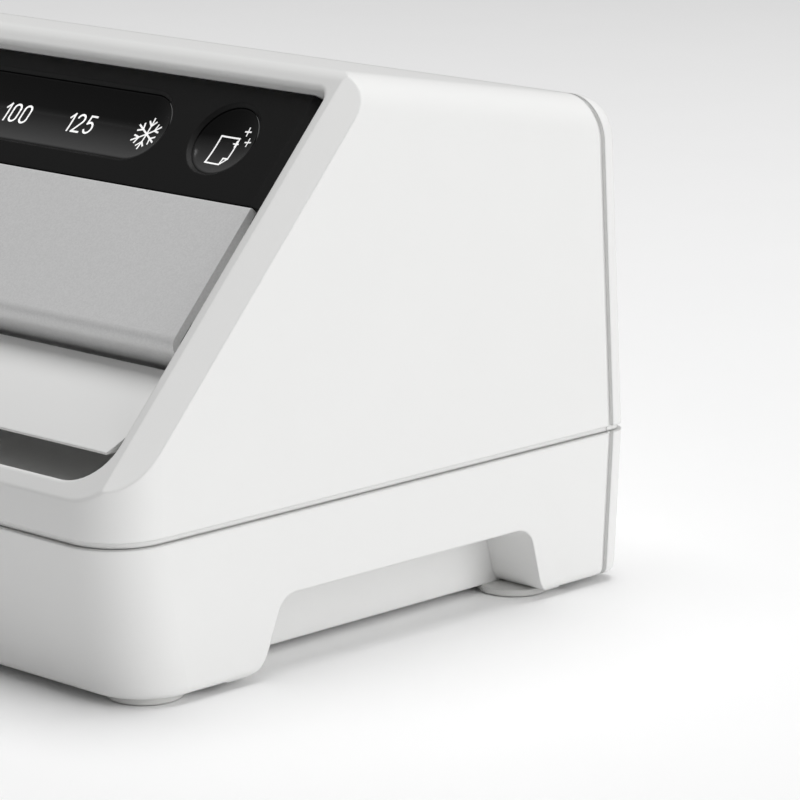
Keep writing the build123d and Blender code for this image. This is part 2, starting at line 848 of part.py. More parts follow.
with BuildPart() as feed_roller_lower_core:
    add(roller_core(feed_roller_y, lower_z))
with BuildPart() as feed_roller_upper_core:
    add(roller_core(feed_roller_y, top_z))
with BuildPart() as exit_roller_lower_core:
    add(roller_core(exit_roller_y, lower_z))
with BuildPart() as exit_roller_upper_core:
    add(roller_core(exit_roller_y, top_z))

with BuildPart() as feed_roller_lower_sleeve:
    add(roller_sleeve(feed_roller_y, lower_z))
with BuildPart() as feed_roller_upper_sleeve:
    add(roller_sleeve(feed_roller_y, top_z))
with BuildPart() as exit_roller_lower_sleeve:
    add(roller_sleeve(exit_roller_y, lower_z))
with BuildPart() as exit_roller_upper_sleeve:
    add(roller_sleeve(exit_roller_y, top_z))

with BuildPart() as feed_roller_lower_gear:
    add(spur_gear(feed_roller_y, lower_z, roller_teeth, feed_lower_phase, gear_bore, 7))
with BuildPart() as feed_roller_upper_gear:
    add(spur_gear(feed_roller_y, top_z, roller_teeth, feed_upper_phase, gear_bore, 7))
with BuildPart() as exit_roller_lower_gear:
    add(spur_gear(exit_roller_y, lower_z, roller_teeth, exit_lower_phase, gear_bore, 7))
with BuildPart() as exit_roller_upper_gear:
    add(spur_gear(exit_roller_y, top_z, roller_teeth, exit_upper_phase, gear_bore, 7))

stud_radius = 3.0
with BuildPart() as idler_gear:
    add(spur_gear(idler_y, lower_z, idler_teeth, idler_phase, stud_radius + running_gap))

with BuildPart() as idler_stud:
    add(rod(frame_inside + frame_thickness, gear_right + 0.6, idler_y, lower_z, stud_radius))
    add(rod(frame_inside + frame_thickness, gear_x - 0.4, idler_y, lower_z, stud_radius + 2))
    add(rod(gear_right + 0.6, gear_right + 1.4, idler_y, lower_z, stud_radius + 1.6))

output_radius = 3.0
bracket_x = gear_right + 4
bracket_thickness = 2.0
with BuildPart() as motor_pinion:
    add(spur_gear(idler_y, pinion_z, pinion_teeth, pinion_phase, output_radius))
with BuildPart() as motor_output_shaft:
    add(rod(gear_x - 1, bracket_x + bracket_thickness + 3, idler_y, pinion_z, output_radius))

# ---------------------------------------------------------------------------
# Frame: two side plates, bars across, bearings and springs
# ---------------------------------------------------------------------------
roller_ys = (feed_roller_y, exit_roller_y)
bush_radius = 6.5
bar_radius = 4.0
bar_inset = 8.0
low_bar_z = 22.0
bar_places = (
    (frame_front_y + bar_inset, low_bar_z),
    (frame_back_y - bar_inset, low_bar_z),
    (idler_y, frame_top - bar_inset),
)
# The frame's top front corner stays this far under the hood
hood_keep = panel_recess + hood_thickness + 2.1
corner_up = (frame_top - face_foot_height + hood_keep * slant_y) / slant_z
frame_corner_y = on_slant(corner_up, hood_keep)[0]
frame_shoulder_z = 60.0
flange_width = 10.0
flange_run = 12.0


def side_frame(x0, x1):
    with BuildPart() as plate:
        with BuildSketch(yz_plane(x0)) as outline:
            Polygon(
                (frame_front_y, floor_z),
                (frame_front_y, frame_shoulder_z),
                (frame_corner_y, frame_top),
                (frame_back_y, frame_top),
                (frame_back_y, floor_z),
                align=None,
            )
            fillet(outline.vertices(), 3)
            for y in roller_ys:
                with Locations((y, lower_z)):
                    Circle(bush_radius, mode=Mode.SUBTRACT)
                slot_low = top_z - block_size / 2
                with Locations((y, (slot_low + slot_top) / 2)):
                    Rectangle(block_size + 0.1, slot_top - slot_low, mode=Mode.SUBTRACT)
        extrude(amount=x1 - x0)
        for y in (frame_front_y + flange_run, frame_back_y - flange_run):
            flange = flange_width if x0 > 0 else -flange_width
            edge = x1 if x0 > 0 else x0
            add(
                box(
                    (min(edge, edge + flange), max(edge, edge + flange)),
                    (y - flange_run / 2, y + flange_run / 2),
                    (floor_z, floor_z + frame_thickness),
                )
            )
    return plate.part


with BuildPart() as side_frame_right:
    add(side_frame(frame_inside, frame_inside + frame_thickness))
with BuildPart() as side_frame_left:
    add(side_frame(-frame_inside - frame_thickness, -frame_inside))

with BuildPart() as frame_bars:
    for y, z in bar_places:
        add(rod(-frame_inside, frame_inside, y, z, bar_radius))

with BuildPart() as frame_screws:
    for side in (-1, 1):
        for y, z in bar_places:
            outer_face = side * (frame_inside + frame_thickness)
            head_end = outer_face + side * screw_head_height
            add(rod(min(outer_face, head_end), max(outer_face, head_end), y, z, 3.5))

bush_flange = 1.5
bearing_past_frame = 4.0
with BuildPart() as roller_bushes:
    for side in (-1, 1):
        for y in roller_ys:
            bore = journal_radius + running_gap
            inner_x = side * (frame_inside - bush_flange)
            face_x = side * frame_inside
            outer_x = side * (frame_inside + frame_thickness + bearing_past_frame)
            add(rod(min(inner_x, face_x), max(inner_x, face_x), y, lower_z, bush_radius + 2, bore))
            add(rod(min(face_x, outer_x), max(face_x, outer_x), y, lower_z, bush_radius, bore))

with BuildPart() as bearing_blocks:
    for side in (-1, 1):
        for y in roller_ys:
            start = side * (frame_inside - bush_flange)
            end = side * (frame_inside + frame_thickness + bearing_past_frame)
            with BuildSketch(yz_plane(min(start, end))):
                with Locations((y, top_z)):
                    Rectangle(block_size, block_size)
                    Circle(journal_radius + running_gap, mode=Mode.SUBTRACT)
            extrude(amount=abs(end - start))

spring_low = top_z + block_size / 2
spring_turns = 12
spring_pitch = (slot_top - spring_low - 2 * spring_wire) / (spring_turns - 1)
with BuildPart() as pressure_springs:
    for side in (-1, 1):
        for y in roller_ys:
            middle_x = side * (frame_inside + frame_thickness / 2)
            spring_axis = Axis((middle_x, y, 0), (0, 0, 1))
            with BuildSketch(Plane(origin=(middle_x, y, 0), x_dir=(1, 0, 0), z_dir=(0, -1, 0))):
                for k in range(spring_turns):
                    height = spring_low + spring_wire + k * spring_pitch
                    with Locations((spring_radius - spring_wire, height)):
                        Circle(spring_wire)
            revolve(axis=spring_axis)

# ---------------------------------------------------------------------------
# Hot shoes, guide plates and heat shield between the side frames
# ---------------------------------------------------------------------------
shoe_gap = 0.7
shoe_thickness = 3.0
shoe_angle = 148.0            # clear of the springs above the bearing blocks
shoe_spread = 75.0


def hot_shoe(z, middle_angle, spread):
    """Heating shoe: an arc of aluminium round part of a roller."""
    inner = roller_radius + shoe_gap
    outer = inner + shoe_thickness
    start = math.radians(middle_angle - spread / 2)
    middle = math.radians(middle_angle)
    end = math.radians(middle_angle + spread / 2)

    def at(r, a):
        return feed_roller_y + r * math.cos(a), z + r * math.sin(a)

    with BuildPart() as shoe:
        with BuildSketch(yz_plane(-frame_inside)):
            with BuildLine():
                ThreePointArc(at(inner, start), at(inner, middle), at(inner, end))
                Line(at(inner, end), at(outer, end))
                ThreePointArc(at(outer, end), at(outer, middle), at(outer, start))
                Line(at(outer, start), at(inner, start))
            make_face()
        extrude(amount=2 * frame_inside)
    return shoe.part


with BuildPart() as upper_hot_shoe:
    add(hot_shoe(top_z, shoe_angle, shoe_spread))
with BuildPart() as lower_hot_shoe:
    add(hot_shoe(lower_z, -shoe_angle, shoe_spread))

guide_low = nip_height - throat_gap / 2
guide_high = nip_height + throat_gap / 2
roller_keep = roller_radius + 2.0


def guide_pair(front, back, mouth):
    """Upper and lower guide plates, with a flared mouth at the front."""
    with BuildPart() as plates:
        for level, away in ((guide_low, -1), (guide_high, 1)):
            with BuildSketch(yz_plane(-frame_inside)):
                Polygon(
                    (front, level + away * mouth),
                    (front + 4, level),
                    (back, level),
                    (back, level + away * guide_plate),
                    (front + 4, level + away * guide_plate),
                    (front, level + away * (mouth + guide_plate)),
                    align=None,
                )
            extrude(amount=2 * frame_inside)
    return plates.part


guide_reach = math.sqrt(roller_keep**2 - (roller_spacing / 2 - throat_gap / 2 - guide_plate) ** 2)
with BuildPart() as entry_guides:
    add(guide_pair(lip_y + 3.5, feed_roller_y - guide_reach, 0.0))
with BuildPart() as middle_guides:
    add(guide_pair(feed_roller_y + guide_reach, exit_roller_y - guide_reach, 0.6))
with BuildPart() as exit_guides:
    add(guide_pair(exit_roller_y + guide_reach, seam_y - rear_cover_depth, 0.6))

with BuildPart() as heat_shield:
    with BuildSketch(yz_plane(-frame_inside - frame_thickness)):
        Polygon(
            (frame_corner_y + 4, frame_top),
            (frame_back_y - 2, frame_top),
            (frame_back_y - 2, frame_top + 1),
            (frame_corner_y + 4, frame_top + 1),
            align=None,
        )
    extrude(amount=2 * (frame_inside + frame_thickness))

shoe_out = roller_radius + shoe_gap + shoe_thickness
shoe_out_y = math.cos(math.radians(shoe_angle))
shoe_out_z = math.sin(math.radians(shoe_angle))


def on_shoe(x, away=0.0):
    """Plane on the upper shoe's back, facing straight out of it."""
    r = shoe_out + away
    place = (x, feed_roller_y + r * shoe_out_y, top_z + r * shoe_out_z)
    return Plane(origin=place, x_dir=(1, 0, 0), z_dir=(0, shoe_out_y, shoe_out_z))


with BuildPart() as thermostat:
    with BuildSketch(on_shoe(-60)):
        Circle(5)
    extrude(amount=4)
    with BuildSketch(on_shoe(-60)):
        Rectangle(22, 3)
    extrude(amount=0.8)

fuse_radius = 1.8
with BuildPart() as thermal_fuse:
    fuse_place = on_shoe(40, fuse_radius).origin
    add(rod(fuse_place.X, fuse_place.X + 14, fuse_place.Y, fuse_place.Z, fuse_radius))

# ---------------------------------------------------------------------------
# Drive: synchronous gear motor on a bracket outside the right side frame
# ---------------------------------------------------------------------------
motor_z = 36.0
motor_radius = 27.0
gearbox_x = bracket_x + bracket_thickness
gearbox_length = 14.0
motor_end = inner_grip - wall - 1.5
bracket_post_radius = 3.5
bracket_low_z = 14.0
bracket_high_z = lower_z - gear_module * (roller_teeth / 2 + 1) - bracket_post_radius - 5
bracket_posts = [(y, z) for y in (idler_y - 29, idler_y + 29) for z in (bracket_low_z, bracket_high_z)]

with BuildPart() as motor_bracket:
    with BuildSketch(yz_plane(bracket_x)) as bracket_outline:
        with Locations((idler_y, (floor_z + 60) / 2)):
            Rectangle(66, 60 - floor_z)
        fillet(bracket_outline.vertices(), 4)
        with Locations((idler_y, pinion_z)):
            Circle(output_radius + 1.5, mode=Mode.SUBTRACT)
    extrude(amount=bracket_thickness)
    for y, z in bracket_posts:
        add(rod(frame_inside + frame_thickness, bracket_x, y, z, bracket_post_radius))

with BuildPart() as gearbox:
    add(rod(gearbox_x, gearbox_x + gearbox_length, idler_y, motor_z, motor_radius))
    add(
        rod(gearbox_x - 1, gearbox_x + 4, idler_y, pinion_z, output_radius + running_gap),
        mode=Mode.SUBTRACT,
    )

with BuildPart() as motor:
    add(rod(gearbox_x + gearbox_length, motor_end, idler_y, motor_z, motor_radius - 2))
    fillet(motor.edges().filter_by(GeomType.CIRCLE).sort_by(Axis.X)[-1], 2)

# ---------------------------------------------------------------------------
# Main board with its components, and the rear connections
# ---------------------------------------------------------------------------
board_z = 14.0
board_thickness = 1.6
board_x = (-232.0, -186.0)
board_y = (-22.0, 62.0)
standoffs = [(x, y) for x in (board_x[0] + 5, board_x[1] - 5) for y in (board_y[0] + 8, board_y[1] - 5)]

with BuildPart() as board_standoffs:
    for x, y in standoffs:
        with BuildSketch(Plane.XY.offset(floor_z)):
            with Locations((x, y)):
                Circle(3)
        extrude(amount=board_z - floor_z)

with BuildPart() as main_board:
    add(box(board_x, board_y, (board_z, board_z + board_thickness)))

on_board = board_z + board_thickness
with BuildPart() as board_components:
    add(box((-226, -200), (-4, 24), (on_board, on_board + 22)))
    add(box((-197, -189), (-6, 20), (on_board, on_board + 18)))
    add(box((-228, -212), (42, 54), (on_board, on_board + 12)))
    add(box((-206, -192), (44, 54), (on_board, on_board + 9)))
    for x, y in ((-220, -14), (-206, -14)):
        with BuildSketch(Plane.XY.offset(on_board)):
            with Locations((x, y)):
                Circle(5)
        extrude(amount=18)
    add(box((-222, -196), (28, 38), (on_board, on_board + 10)))

cover_y = rear_y - (parting_height - connection_z) * rise(rear_lean)
flange_y = rear_y - 0.15
with BuildPart() as power_inlet:
    add(
        box(
            (inlet_x - inlet_width / 2 + 0.2, inlet_x + inlet_width / 2 - 0.2),
            (cover_y - 24, flange_y),
            (connection_z - inlet_height / 2 + 0.2, connection_z + inlet_height / 2 - 0.2),
        )
    )
    fillet(power_inlet.edges().filter_by(Axis.Y), 4)
    with BuildSketch(Plane(origin=(inlet_x, flange_y, connection_z), x_dir=(-1, 0, 0),
                           z_dir=(0, 1, 0))):
        SlotOverall(inlet_width - 5, inlet_height - 6)
    extrude(amount=-16, mode=Mode.SUBTRACT)

with BuildPart() as inlet_pins:
    for side in (-1, 1):
        with BuildSketch(Plane(origin=(inlet_x + side * 4.3, flange_y - 16, connection_z),
                               x_dir=(-1, 0, 0), z_dir=(0, 1, 0))):
            Circle(1.15)
        extrude(amount=13)

rocker_axis_y = cover_y - 6.0
rocker_radius = 7.4
rocker_gap = 0.35
with BuildPart() as switch_body:
    add(
        box(
            (switch_x - switch_width / 2 + 0.2, switch_x + switch_width / 2 - 0.2),
            (cover_y - 22, flange_y),
            (connection_z - switch_height / 2 + 0.2, connection_z + switch_height / 2 - 0.2),
        )
    )
    rocker_space = switch_width / 2 - 1.8
    add(
        box(
            (switch_x - rocker_space, switch_x + rocker_space),
            (rocker_axis_y - rocker_radius - 1, rear_y + 5),
            (connection_z - rocker_radius - rocker_gap, connection_z + rocker_radius + rocker_gap),
        ),
        mode=Mode.SUBTRACT,
    )
    add(rod(switch_x - rocker_space - 1.2, switch_x + rocker_space + 1.2, rocker_axis_y,
            connection_z, 1.2 + running_gap), mode=Mode.SUBTRACT)

rocker_face = flange_y - rocker_axis_y - 0.6
rocker_dip = 1.6
with BuildPart() as power_rocker:
    with BuildSketch(yz_plane(switch_x - rocker_space + rocker_gap)):
        with Locations((rocker_axis_y, connection_z)):
            Circle(rocker_radius)
            Polygon(
                (rocker_face, -rocker_radius - 2),
                (rocker_face - rocker_dip, 0),
                (rocker_face, rocker_radius + 2),
                (-rocker_radius - 2, rocker_radius + 2),
                (-rocker_radius - 2, -rocker_radius - 2),
                align=None,
                mode=Mode.INTERSECT,
            )
    extrude(amount=2 * (rocker_space - rocker_gap))
    add(rod(switch_x - rocker_space - 1.0, switch_x + rocker_space + 1.0, rocker_axis_y,
            connection_z, 1.2))

# ---------------------------------------------------------------------------
# Feet and casing screws
# ---------------------------------------------------------------------------
foot_radius = 10.3
front_foot = (half - 14, front_y + 23)
rear_foot = (half - 15, rear_y - 33)
foot_places = [(side * x, y) for side in (-1, 1) for x, y in (front_foot, rear_foot)]
with BuildPart() as rubber_feet:
    for x, y in foot_places:
        with BuildSketch(Plane.XY):
            with Locations((x, y)):
                Circle(foot_radius)
        extrude(amount=foot_height)
    fillet(rubber_feet.edges().group_by(Axis.Z)[0], 0.6)

with BuildPart() as casing_screws:
    for x, y in post_places:
        with BuildSketch(Plane.XY.offset(screw_seat_z - screw_head_height)):
            with Locations((x, y)):
                Circle(screw_radius + screw_head)
        extrude(amount=screw_head_height)
        with BuildSketch(Plane.XY.offset(screw_seat_z - screw_head_height)):
            with Locations((x, y)):
                Circle(screw_radius)
        extrude(amount=parting_height + screw_grip - screw_seat_z)

# ---------------------------------------------------------------------------
# Every piece gets its label and its own file
# ---------------------------------------------------------------------------
pieces = {
    "upper_casing": upper_casing,
    "lower_casing": lower_casing,
    "rear_cover_upper": rear_cover_upper,
    "rear_cover_lower": rear_cover_lower,
    "control_panel": control_panel,
    "display_window": display_window,
    "mode_button_window": mode_button_window,
    "standby_button_window": standby_button_window,
    "touch_board": touch_board,
    "hood_plate": hood_plate,
    "feed_tray": feed_tray,
    "tray_guides": tray_guides,
    "feed_roller_lower_core": feed_roller_lower_core,
    "feed_roller_lower_sleeve": feed_roller_lower_sleeve,
    "feed_roller_lower_gear": feed_roller_lower_gear,
    "feed_roller_upper_core": feed_roller_upper_core,
    "feed_roller_upper_sleeve": feed_roller_upper_sleeve,
    "feed_roller_upper_gear": feed_roller_upper_gear,
    "exit_roller_lower_core": exit_roller_lower_core,
    "exit_roller_lower_sleeve": exit_roller_lower_sleeve,
    "exit_roller_lower_gear": exit_roller_lower_gear,
    "exit_roller_upper_core": exit_roller_upper_core,
    "exit_roller_upper_sleeve": exit_roller_upper_sleeve,
    "exit_roller_upper_gear": exit_roller_upper_gear,
    "idler_gear": idler_gear,
    "idler_stud": idler_stud,
    "motor_pinion": motor_pinion,
    "motor_output_shaft": motor_output_shaft,
    "side_frame_right": side_frame_right,
    "side_frame_left": side_frame_left,
    "frame_bars": frame_bars,
    "frame_screws": frame_screws,
    "roller_bushes": roller_bushes,
    "bearing_blocks": bearing_blocks,
    "pressure_springs": pressure_springs,
    "upper_hot_shoe": upper_hot_shoe,
    "lower_hot_shoe": lower_hot_shoe,
    "entry_guides": entry_guides,
    "middle_guides": middle_guides,
    "exit_guides": exit_guides,
    "heat_shield": heat_shield,
    "thermostat": thermostat,
    "thermal_fuse": thermal_fuse,
    "motor_bracket": motor_bracket,
    "gearbox": gearbox,
    "motor": motor,
    "board_standoffs": board_standoffs,
    "main_board": main_board,
    "board_components": board_components,
    "power_inlet": power_inlet,
    "inlet_pins": inlet_pins,
    "switch_body": switch_body,
    "power_rocker": power_rocker,
    "rubber_feet": rubber_feet,
    "casing_screws": casing_screws,
}

for name, piece in pieces.items():
    piece.part.label = name
    export_step(piece.part, f"parts/{name}.step")
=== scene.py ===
import math

import bpy
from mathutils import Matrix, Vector


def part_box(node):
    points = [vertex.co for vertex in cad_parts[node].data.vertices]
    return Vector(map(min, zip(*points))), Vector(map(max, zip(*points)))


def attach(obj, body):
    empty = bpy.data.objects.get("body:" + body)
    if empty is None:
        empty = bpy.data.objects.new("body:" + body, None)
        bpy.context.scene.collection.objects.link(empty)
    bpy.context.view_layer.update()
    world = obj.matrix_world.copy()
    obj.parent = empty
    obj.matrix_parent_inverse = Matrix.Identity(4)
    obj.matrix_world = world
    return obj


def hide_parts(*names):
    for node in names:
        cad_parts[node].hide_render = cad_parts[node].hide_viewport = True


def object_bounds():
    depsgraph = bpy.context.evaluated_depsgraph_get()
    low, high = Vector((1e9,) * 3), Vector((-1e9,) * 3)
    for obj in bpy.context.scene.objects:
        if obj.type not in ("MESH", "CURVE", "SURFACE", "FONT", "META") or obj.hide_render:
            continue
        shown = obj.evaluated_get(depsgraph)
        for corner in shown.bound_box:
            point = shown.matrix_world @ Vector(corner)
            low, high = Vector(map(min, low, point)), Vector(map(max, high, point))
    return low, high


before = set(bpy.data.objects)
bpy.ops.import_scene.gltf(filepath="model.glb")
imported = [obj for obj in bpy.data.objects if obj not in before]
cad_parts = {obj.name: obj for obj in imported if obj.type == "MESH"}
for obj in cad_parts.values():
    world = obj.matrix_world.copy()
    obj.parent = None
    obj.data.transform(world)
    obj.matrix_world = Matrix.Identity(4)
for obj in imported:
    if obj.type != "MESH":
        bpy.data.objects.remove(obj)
cad_low, cad_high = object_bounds()


# --- Camera -------------------------------------------------------------
# A long lens looks down on the right-hand end of the machine from the front
# and right. It is aimed at the side wall, a little under half of its height.
MM = 0.001
side_aim = Vector((cad_high.x, 4.75 * MM, 67.88 * MM))
camera_distance = 1.1149
azimuth = math.radians(43.92)
elevation = math.radians(12.96)
towards_camera = Vector((
    math.sin(azimuth) * math.cos(elevation),
    -math.cos(azimuth) * math.cos(elevation),
    math.sin(elevation),
))
camera_data = bpy.data.cameras.new("camera")
camera_data.lens = 185.8
camera_data.sensor_width = 36.0
camera_data.clip_end = 20.0
camera = bpy.data.objects.new("camera", camera_data)
camera.location = side_aim + towards_camera * camera_distance
camera.rotation_mode = "QUATERNION"
camera.rotation_quaternion = (-towards_camera).to_track_quat("-Z", "Y")
bpy.context.collection.objects.link(camera)
bpy.context.scene.camera = camera
bpy.context.scene.view_settings.view_transform = "Standard"


# --- Casing shells --------------------------------------------------------
# The two casings, their rear covers and the feed tray are injection moulded
# in white ABS. A fine spark-eroded grain gives them a soft, even sheen.
def linear(hex_colour):
    """Linear RGBA from an sRGB hex value."""
    channels = [int(hex_colour[i:i + 2], 16) / 255 for i in (1, 3, 5)]
    curve = [c / 12.92 if c <= 0.04045 else ((c + 0.055) / 1.055) ** 2.4 for c in channels]
    return (*curve, 1.0)


def add_node(tree, kind, inputs=None, **settings):
    """One shader node with its settings, and its inputs linked or set."""
    made = tree.nodes.new(kind)
    for name, value in settings.items():
        setattr(made, name, value)
    for name, value in (inputs or {}).items():
        if isinstance(value, bpy.types.NodeSocket):
            tree.links.new(value, made.inputs[name])
        else:
            made.inputs[name].default_value = value
    return made


def new_material(name):
    """Material with only a shader: its tree, the shader, and places on the piece in metres."""
    material = bpy.data.materials.new(name)
    material.use_nodes = True
    tree = material.node_tree
    tree.nodes.clear()
    shader = add_node(tree, "ShaderNodeBsdfPrincipled")
    add_node(tree, "ShaderNodeOutputMaterial", {"Surface": shader.outputs["BSDF"]})
    place = add_node(tree, "ShaderNodeTexCoord").outputs["Object"]
    return material, tree, shader, place


def pattern_scale(size_mm):
    """Texture scale whose spots are about that many millimetres across."""
    return 1.0 / (size_mm * MM)


def moulded(name, light, dark, roughness, spread, grain_mm, depth_mm, ior=1.53, soft_mm=0.5):
    """Moulded plastic: faint flow mottle, spark-eroded grain, and edges eased by the mould."""
    material, tree, shader, place = new_material(name)
    flow_mm = 45
    flow = add_node(tree, "ShaderNodeTexNoise", {
        "Vector": place, "Scale": pattern_scale(flow_mm), "Detail": 3.0, "Roughness": 0.55,
    })
    colour = add_node(tree, "ShaderNodeMix", {
        "Factor": flow.outputs["Fac"], "A": linear(dark), "B": linear(light),
    }, data_type="RGBA")
    grain = add_node(tree, "ShaderNodeTexNoise", {
        "Vector": place, "Scale": pattern_scale(grain_mm), "Detail": 2.0, "Roughness": 0.5,
    })
    gloss = add_node(tree, "ShaderNodeMapRange", {
        "Value": grain.outputs["Fac"], "To Min": roughness - spread, "To Max": roughness + spread,
    })
    edge = add_node(tree, "ShaderNodeBevel", {"Radius": soft_mm * MM}, samples=4)
    bump = add_node(tree, "ShaderNodeBump", {
        "Height": grain.outputs["Fac"], "Strength": 0.35, "Distance": depth_mm * MM,
        "Normal": edge.outputs["Normal"],
    })
    tree.links.new(colour.outputs["Result"], shader.inputs["Base Color"])
    tree.links.new(gloss.outputs["Result"], shader.inputs["Roughness"])
    tree.links.new(bump.outputs["Normal"], shader.inputs["Normal"])
    shader.inputs["IOR"].default_value = ior
    return material


def finish_nodes(material, *names):
    """Gives CAD nodes a material."""
    for name in names:
        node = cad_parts[name]
        node.data.materials.clear()
        node.data.materials.append(material)


white_abs = moulded(
    "ABS_moulded_white", "#EDEDEC", "#EAEAE9", 0.42, 0.05, 0.7, 0.02, soft_mm=0.9
)
finish_nodes(
    white_abs,
    "upper_casing", "lower_casing", "rear_cover_upper", "rear_cover_lower", "feed_tray",
)


# --- Hood plate -------------------------------------------------------------
# The plate under the panel is moulded ABS, sprayed with a silver-grey lacquer.
# The flakes in the lacquer give it a slight sparkle. They are drawn 0.45 mm
# across, coarser than real ones, so that they show at all.
silver_lacquer, lacquer_tree, lacquer_shader, lacquer_place = new_material("silver_grey_lacquer")
flakes = add_node(lacquer_tree, "ShaderNodeTexVoronoi", {
    "Vector": lacquer_place, "Scale": pattern_scale(0.45),
})
flake_split = add_node(lacquer_tree, "ShaderNodeSeparateColor", {"Color": flakes.outputs["Color"]})
flake_colour = add_node(lacquer_tree, "ShaderNodeMix", {
    "Factor": flake_split.outputs["Red"], "A": linear("#DEDEDE"), "B": linear("#E6E6E6"),
}, data_type="RGBA")
flake_gloss = add_node(lacquer_tree, "ShaderNodeMapRange", {
    "Value": flake_split.outputs["Green"], "To Min": 0.36, "To Max": 0.44,
})
lacquer_tree.links.new(flake_colour.outputs["Result"], lacquer_shader.inputs["Base Color"])
lacquer_tree.links.new(flake_gloss.outputs["Result"], lacquer_shader.inputs["Roughness"])
lacquer_shader.inputs["Metallic"].default_value = 0.15
finish_nodes(silver_lacquer, "hood_plate")


# --- Control panel ----------------------------------------------------------
# The panel is moulded in black ABS with a close grain, and snaps into the
# casing's opening. It stays nearly black in any light, with a faint sheen.
def shader_of(material):
    """The shader of a material that is already made."""
    return material.node_tree.nodes["Principled BSDF"]


black_abs = moulded("ABS_moulded_black", "#121212", "#0E0E0E", 0.5, 0.06, 0.5, 0.015)
shader_of(black_abs).inputs["Specular IOR Level"].default_value = 0.18
finish_nodes(black_abs, "control_panel")


# --- Touch windows ----------------------------------------------------------
# Polished black acrylic lenses, bonded into the panel and dished so that a
# fingertip finds them. Their base colour fades from black to grey towards the
# lower edge: a painted reflection of the bright surroundings in their lower half.
face_slant = math.radians(47.64)
button_low, button_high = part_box("mode_button_window")
lens_middle = (button_low + button_high) / 2
lens_radius = (button_high.x - button_low.x) / 2
button_x = lens_middle.x
display_end_inset = 64.55 * MM
display_straight = cad_high.x - display_end_inset - lens_radius
rim_height = 0.95 * MM
lens_dish = 1.35 * MM
lens_back = 0.2 * MM


def on_front(x, up, depth):
    """Point so far right, so far up the slant and so far under the lenses' mid-plane."""
    y = lens_middle.y + up * math.cos(face_slant) + depth * math.sin(face_slant)
    z = lens_middle.z + up * math.sin(face_slant) - depth * math.cos(face_slant)
    return Vector((x, y, z))


def dish_depth(x, up, middle_x, straight):
    """Depth of a dished lens: round ends on a straight run, deepest along its middle."""
    past = max(abs(x - middle_x) - straight, 0.0)
    share = min(math.hypot(past, up) / lens_radius, 1.0)
    return lens_dish * (1 - share ** 2.6) - rim_height


def dished_lens(name, middle_x, straight, node):
    """Closed lens whose top is dished, standing for one CAD window."""
    turns = 96
    rings = 14
    back = lens_dish - rim_height + lens_back
    ring_points = []
    for k in range(turns):
        angle = 2 * math.pi * (k + 0.5) / turns
        ring_points.append((math.cos(angle), math.sin(angle)))
    points = []
    for ring in range(rings + 1):
        share = ring / rings
        for c, s in ring_points:
            x = middle_x + math.copysign(straight, c) + lens_radius * share * c
            up = lens_radius * share * s
            points.append(on_front(x, up, dish_depth(x, up, middle_x, straight)))
    for c, s in ring_points:
        x = middle_x + math.copysign(straight, c) + lens_radius * c
        points.append(on_front(x, lens_radius * s, back))
    faces = [list(range(turns))]
    for ring in range(rings + 1):
        low, high = ring * turns, (ring + 1) * turns
        for k in range(turns):
            n = (k + 1) % turns
            faces.append([low + k, high + k, high + n, low + n])
    faces.append([(rings + 1) * turns + k for k in reversed(range(turns))])
    mesh = bpy.data.meshes.new(name)
    mesh.from_pydata(points, [], faces)
    for face in mesh.polygons:
        face.use_smooth = True
    mesh.materials.append(acrylic)
    lens = bpy.data.objects.new(name, mesh)
    bpy.context.collection.objects.link(lens)
    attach(lens, "root")
    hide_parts(node)


acrylic, acrylic_tree, acrylic_shader, acrylic_place = new_material("acrylic_polished_black")
smudge = add_node(acrylic_tree, "ShaderNodeTexNoise", {
    "Vector": acrylic_place, "Scale": pattern_scale(9), "Detail": 4.0,
})
smudge_gloss = add_node(acrylic_tree, "ShaderNodeMapRange", {
    "Value": smudge.outputs["Fac"], "To Min": 0.06, "To Max": 0.12,
})
lens_place = add_node(acrylic_tree, "ShaderNodeSeparateXYZ", {"Vector": acrylic_place})
# Painted reflection: the base colour turns from black to grey towards the lenses' lower edge.
reflection_fade_depth = -0.7 * MM
painted_reflection_fade = add_node(acrylic_tree, "ShaderNodeMapRange", {
    "Value": lens_place.outputs["Z"],
    "From Min": on_front(0, -lens_radius, reflection_fade_depth).z,
    "From Max": on_front(0, 0.1 * lens_radius, reflection_fade_depth).z,
    "To Min": 1.0,
    "To Max": 0.0,
})
painted_reflection_colour = add_node(acrylic_tree, "ShaderNodeMix", {
    "Factor": painted_reflection_fade.outputs["Result"], "A": linear("#030303"), "B": linear("#4A4A4A"),
}, data_type="RGBA")
acrylic_tree.links.new(painted_reflection_colour.outputs["Result"], acrylic_shader.inputs["Base Color"])
acrylic_tree.links.new(smudge_gloss.outputs["Result"], acrylic_shader.inputs["Roughness"])
acrylic_shader.inputs["IOR"].default_value = 1.49
acrylic_shader.inputs["Specular IOR Level"].default_value = 0.25
dished_lens("display_lens", 0.0, display_straight, "display_window")
dished_lens("mode_button_lens", button_x, 0.0, "mode_button_window")
dished_lens("standby_button_lens", -button_x, 0.0, "standby_button_window")


# --- Printed symbols ----------------------------------------------------------
# Film thickness numbers, a snowflake for cold pouches, a sheet with sparkles
# and a standby mark. They are screen printed in white ink, which is given a
# faint emission: a painted glow, with no lamp behind it.
ink = moulded(
    "ink_screen_printed_white", "#FFFFFF", "#F4F4F4", 0.5, 0.05, 0.3, 0.002, soft_mm=0.05
)
# Painted glow: the ink emits a little light of its own, which brightens the print.
shader_of(ink).inputs["Emission Color"].default_value = linear("#FFFFFF")
shader_of(ink).inputs["Emission Strength"].default_value = 0.35
ink_above_lens = 0.04 * MM
stroke_step = 0.5 * MM
end_overrun = 0.9             # share of half a line's width, so that strokes close up at corners


